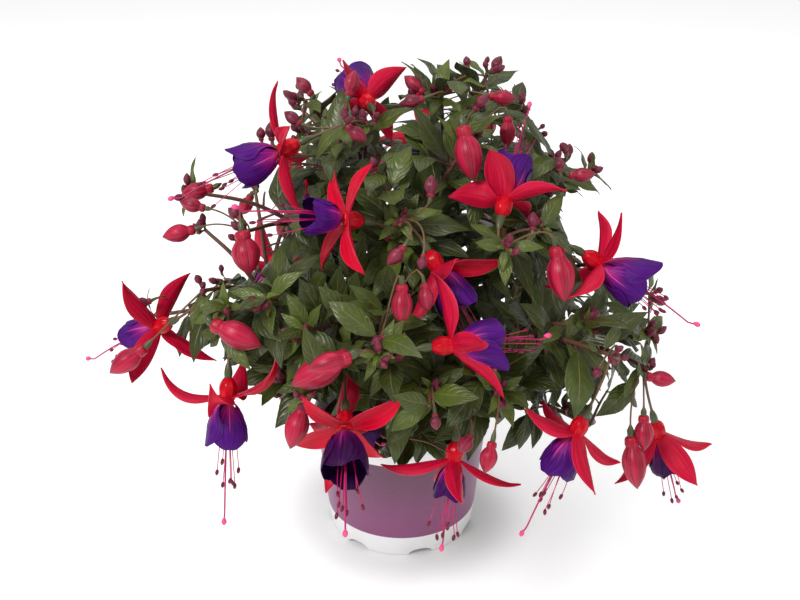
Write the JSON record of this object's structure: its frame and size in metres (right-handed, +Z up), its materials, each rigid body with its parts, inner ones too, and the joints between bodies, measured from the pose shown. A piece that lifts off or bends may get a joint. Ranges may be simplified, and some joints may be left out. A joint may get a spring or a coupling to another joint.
{
  "type": "potted fuchsia",
  "caption": "Bushy fuchsia with red and violet blossoms and many buds, growing in a tapered round white nursery pot with a plum band.",
  "frame": {"origin": "middle of the pot's flat base", "axes": "+Z up along the pot's axis, -Y toward the side that the picture shows, +X to its right"},
  "size_m": [0.3729, 0.419, 0.3368],
  "materials": {
    "pot": "satin",
    "pot_band": "satin print",
    "soil": "rough, damp",
    "foliage": "satin leaf",
    "stem": "satin bark",
    "sepal": "glossy waxy petal",
    "bud": "satin petal",
    "corolla": "velvety petal",
    "stamen": "matte"
  },
  "bodies": {
    "root": {"pot": "pot", "soil": "soil", "flower_a_corolla": "corolla", "flower_b_corolla": "corolla", "flower_c_corolla": "corolla", "flower_d_corolla": "corolla", "flower_e_corolla": "corolla", "flower_f_corolla": "corolla", "flower_g_corolla": "corolla", "flower_h_corolla": "corolla", "flower_i_corolla": "corolla", "flower_j_corolla": "corolla", "flower_k_corolla": "corolla", "flower_l_corolla": "corolla", "flower_m_corolla": "corolla", "flower_n_corolla": "corolla", "flower_o_corolla": "corolla", "flower_p_corolla": "corolla", "flower_q_corolla": "corolla", "flower_r_corolla": "corolla", "flower_s_corolla": "corolla", "flower_t_corolla": "corolla", "flower_a_red": "sepal", "flower_b_red": "sepal", "flower_c_red": "sepal", "flower_d_red": "sepal", "flower_e_red": "sepal", "flower_f_red": "sepal", "flower_g_red": "sepal", "flower_h_red": "sepal", "flower_i_red": "sepal", "flower_j_red": "sepal", "flower_k_red": "sepal", "flower_l_red": "sepal", "flower_m_red": "sepal", "flower_n_red": "sepal", "flower_o_red": "sepal", "flower_p_red": "sepal", "flower_q_red": "sepal", "flower_r_red": "sepal", "flower_s_red": "sepal", "flower_t_red": "sepal", "stem_left": "foliage", "stem_front_left": "foliage", "stem_front": "foliage", "stem_front_low": "foliage", "stem_front_right": "foliage", "stem_right_low": "foliage", "stem_right": "foliage", "stem_right_high": "foliage", "stem_centre": "foliage", "stem_left_high": "foliage", "stem_top_left": "foliage", "stem_top_right": "foliage", "stem_back_right": "foliage", "stem_back": "foliage", "stem_back_left": "foliage", "stem_left_back": "foliage"}
  },
  "joints": []
}
